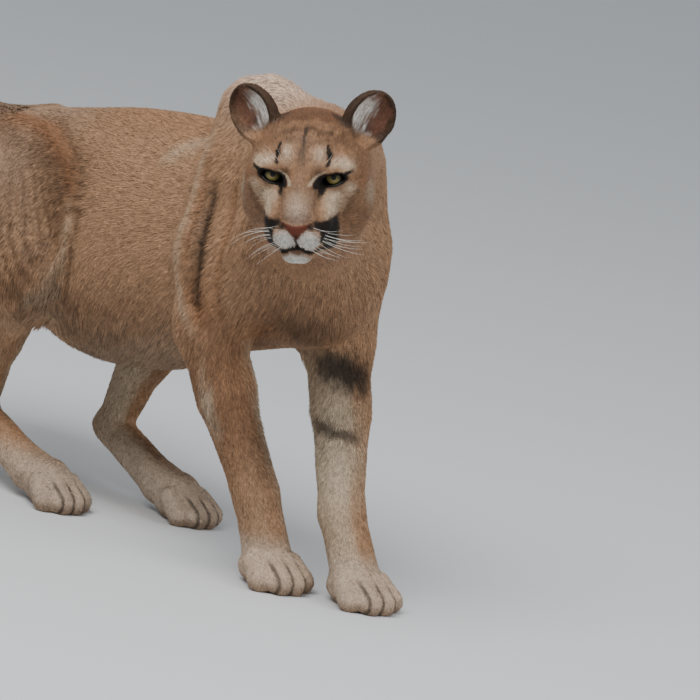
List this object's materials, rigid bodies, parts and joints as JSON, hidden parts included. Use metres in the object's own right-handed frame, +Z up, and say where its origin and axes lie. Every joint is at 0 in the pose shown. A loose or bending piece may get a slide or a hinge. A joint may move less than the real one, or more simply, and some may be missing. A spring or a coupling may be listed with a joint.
{
  "type": "cougar",
  "caption": "Life-size cougar standing half crouched on a level floor, left forefoot leading, head turned to its right, long tail trailing low",
  "frame": {"origin": "centre of the bounding box's base, on the floor", "axes": "+X towards the chest along the body's length, +Y to the animal's left side, +Z up"},
  "size_m": [1.6166, 0.3942, 0.668],
  "materials": {
    "coat": "short tawny fur over skin, matte",
    "pad": "short dusky fur over a foot, matte",
    "eye": "wet yellow-green eye"
  },
  "bodies": {
    "root": {"head": "coat", "ear_left": "coat", "ear_right": "coat", "eye_left": "eye", "eye_right": "eye", "neck": "coat", "torso": "coat", "hindquarters": "coat", "leg_front_left": "coat", "leg_front_right": "coat", "leg_rear_left": "coat", "leg_rear_right": "coat", "foot_front_left": "pad", "foot_front_right": "pad", "foot_rear_left": "pad", "foot_rear_right": "pad", "tail_base": "coat", "tail_middle": "coat", "tail_end": "coat"}
  },
  "joints": []
}
